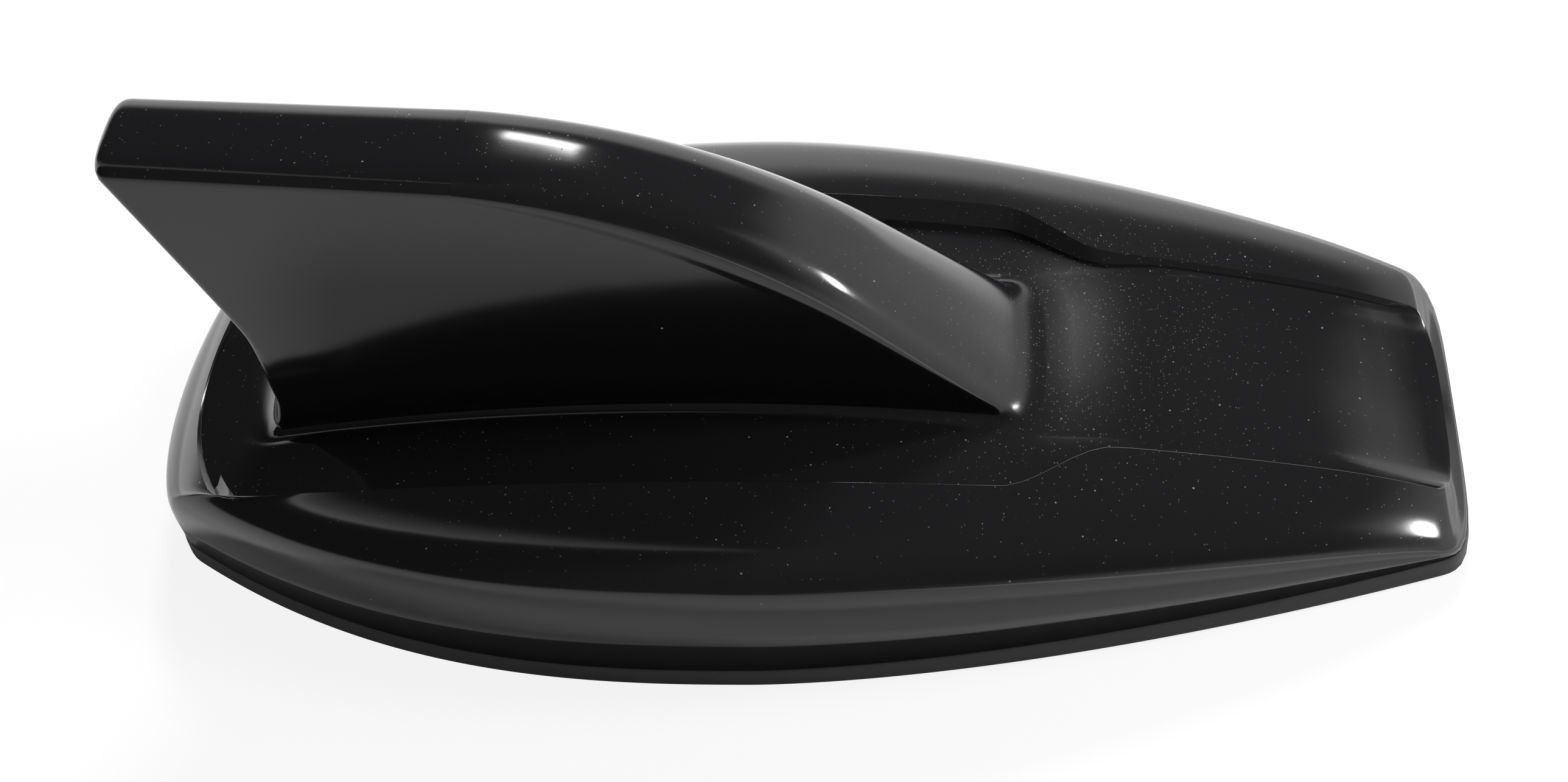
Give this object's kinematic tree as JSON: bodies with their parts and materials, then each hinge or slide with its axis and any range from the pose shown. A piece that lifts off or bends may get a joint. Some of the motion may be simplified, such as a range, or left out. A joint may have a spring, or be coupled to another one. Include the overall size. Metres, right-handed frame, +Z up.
{
  "type": "shark fin roof aerial",
  "caption": "Low tapered roof aerial with a raked fin in one glossy moulded cover, a rubber seal round its foot and a base plate with a fixing thread and lead sockets beneath.",
  "frame": {"origin": "axis of the fixing thread at mid-length, on the underside of the seal, which is the roof's surface", "axes": "+X to the nose, +Y to the left side as the car drives, +Z up out of the roof"},
  "size_m": [0.17, 0.076, 0.0619],
  "materials": {
    "cover_gloss": "high gloss black, as moulded and polished",
    "seal_rubber": "matte moulded rubber",
    "cast_plate": "die-cast, tumbled",
    "foam": "closed-cell foam",
    "brass_insert": "turned",
    "screw_steel": "zinc plated",
    "membrane": "breathable film",
    "board_green": "solder resist",
    "chip_black": "moulded epoxy and nylon",
    "tinned_sheet": "tinned",
    "header_blue": "moulded nylon",
    "gilt_contact": "gold flashed",
    "tape": "double-sided tape",
    "ceramic": "fired ceramic",
    "silvering": "fired silver paste",
    "former_cream": "moulded nylon",
    "copper_wire": "enamelled copper",
    "spring_bronze": "stamped strip"
  },
  "bodies": {
    "root": {"cover": "cover_gloss", "rubber_seal": "seal_rubber", "base_plate": "cast_plate", "inner_gasket": "foam", "fixing_insert": "brass_insert", "cover_screws": "screw_steel", "vent_membrane": "membrane", "main_board": "board_green", "board_screws": "screw_steel", "board_chips": "chip_black", "shield_can": "tinned_sheet", "lead_header": "header_blue", "header_contacts": "gilt_contact", "patch_tape": "tape", "patch_ceramic": "ceramic", "patch_electrode": "silvering", "patch_pin": "tinned_sheet", "fin_board": "board_green", "fin_board_feet": "chip_black", "top_load_cap": "tinned_sheet", "cap_pad": "foam", "coil_former": "former_cream", "loading_coil": "copper_wire", "front_blade": "spring_bronze", "rear_blade": "spring_bronze"}
  },
  "joints": []
}
